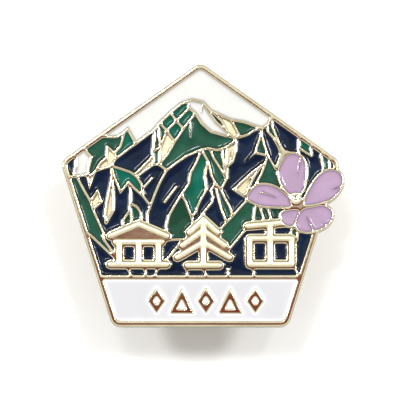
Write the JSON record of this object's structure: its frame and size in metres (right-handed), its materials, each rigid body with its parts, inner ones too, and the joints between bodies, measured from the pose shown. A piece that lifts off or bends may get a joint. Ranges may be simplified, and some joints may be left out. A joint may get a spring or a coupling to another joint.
{
  "type": "enamel pin",
  "caption": "Five-sided souvenir pin: gold-plated plate with raised mountain lines and enamel cells, a flower over one corner, two posts and two butterfly clutches.",
  "frame": {"origin": "centre of the plate's flat back face, at the middle of the pentagon", "axes": "+Z out of the enamelled face, +Y to the apex, +X to the right as the face is read"},
  "size_m": [0.0284, 0.0266, 0.009],
  "materials": {
    "gold_plating": "polished gold plating over a die-struck base",
    "clutch_brass": "bright stamped brass sheet",
    "enamel_navy": "glossy soft enamel",
    "enamel_deep_green": "glossy soft enamel",
    "enamel_shade_green": "glossy soft enamel",
    "enamel_teal": "glossy soft enamel",
    "enamel_lilac": "glossy soft enamel",
    "enamel_white": "glossy soft enamel",
    "enamel_band": "glossy soft enamel"
  },
  "bodies": {
    "badge": {"plate": "gold_plating", "enamel_sky": "enamel_white", "enamel_summit_snow": "enamel_white", "enamel_ladder_1": "enamel_teal", "enamel_ladder_2": "enamel_teal", "enamel_ladder_3": "enamel_teal", "enamel_ladder_4": "enamel_teal", "enamel_ladder_5": "enamel_deep_green", "enamel_great_face": "enamel_deep_green", "enamel_gully_1": "enamel_shade_green", "enamel_gully_2": "enamel_deep_green", "enamel_east_face": "enamel_deep_green", "enamel_north_wall": "enamel_navy", "enamel_small_peak": "enamel_teal", "enamel_west_face": "enamel_deep_green", "enamel_west_snow": "enamel_white", "enamel_west_corner": "enamel_navy", "enamel_west_ridge": "enamel_navy", "enamel_west_strip": "enamel_deep_green", "enamel_leaf_west": "enamel_teal", "enamel_sapling_1": "enamel_shade_green", "enamel_sapling_2": "enamel_deep_green", "enamel_hollow_west": "enamel_navy", "enamel_arrow_west": "enamel_navy", "enamel_great_hollow": "enamel_navy", "enamel_fold_centre": "enamel_shade_green", "enamel_leaf_centre": "enamel_teal", "enamel_sliver_centre": "enamel_navy", "enamel_foot_centre": "enamel_navy", "enamel_blade_centre": "enamel_deep_green", "enamel_blade_small": "enamel_deep_green", "enamel_stem_centre": "enamel_deep_green", "enamel_great_wall": "enamel_navy", "enamel_arrow_east": "enamel_deep_green", "enamel_spur_east": "enamel_deep_green", "enamel_slab_east": "enamel_navy", "enamel_sliver_east": "enamel_deep_green", "enamel_wall_east": "enamel_navy", "enamel_field_east": "enamel_teal", "enamel_corner_east": "enamel_navy", "enamel_edge_east": "enamel_deep_green", "enamel_valley_east": "enamel_deep_green", "enamel_strip_east": "enamel_navy", "enamel_strip_south": "enamel_navy", "enamel_strip_middle": "enamel_navy", "enamel_strip_west": "enamel_navy", "enamel_band": "enamel_band", "enamel_petal_top": "enamel_lilac", "enamel_petal_right": "enamel_lilac", "enamel_petal_left": "enamel_lilac", "enamel_petal_foot": "enamel_lilac", "enamel_petal_low": "enamel_lilac", "post_left": "gold_plating", "post_right": "gold_plating"},
    "clutch_left": {"clutch_shell_left": "clutch_brass"},
    "wing_upper_left": {"wing_upper_left": "clutch_brass"},
    "wing_lower_left": {"wing_lower_left": "clutch_brass"},
    "clutch_right": {"clutch_shell_right": "clutch_brass"},
    "wing_upper_right": {"wing_upper_right": "clutch_brass"},
    "wing_lower_right": {"wing_lower_right": "clutch_brass"}
  },
  "joints": [
    {"name": "clutch_pull_left", "type": "slide", "parent": "badge", "child": "clutch_left", "axis": [0, 0, -1], "range_m": [0, 0.0085]},
    {"name": "wing_upper_left_squeeze", "type": "hinge", "parent": "clutch_left", "child": "wing_upper_left", "pos_m": [-0.0065, 0.0036, -0.0026], "axis": [-1, 0, 0], "range_deg": [0, 14], "stiffness_Nm_per_rad": 0.004, "springref_deg": -5.73},
    {"name": "wing_lower_left_squeeze", "type": "hinge", "parent": "clutch_left", "child": "wing_lower_left", "pos_m": [-0.0065, -0.002, -0.0026], "axis": [1, 0, 0], "range_deg": [0, 14], "stiffness_Nm_per_rad": 0.004, "springref_deg": -5.73},
    {"name": "clutch_pull_right", "type": "slide", "parent": "badge", "child": "clutch_right", "axis": [0, 0, -1], "range_m": [0, 0.0085]},
    {"name": "wing_upper_right_squeeze", "type": "hinge", "parent": "clutch_right", "child": "wing_upper_right", "pos_m": [0.0065, 0.0036, -0.0026], "axis": [-1, 0, 0], "range_deg": [0, 14], "stiffness_Nm_per_rad": 0.004, "springref_deg": -5.73},
    {"name": "wing_lower_right_squeeze", "type": "hinge", "parent": "clutch_right", "child": "wing_lower_right", "pos_m": [0.0065, -0.002, -0.0026], "axis": [1, 0, 0], "range_deg": [0, 14], "stiffness_Nm_per_rad": 0.004, "springref_deg": -5.73}
  ],
  "couplings": [
    {"joint": "wing_lower_left_squeeze", "follows": "wing_upper_left_squeeze", "ratio": 1},
    {"joint": "wing_lower_right_squeeze", "follows": "wing_upper_right_squeeze", "ratio": 1}
  ]
}
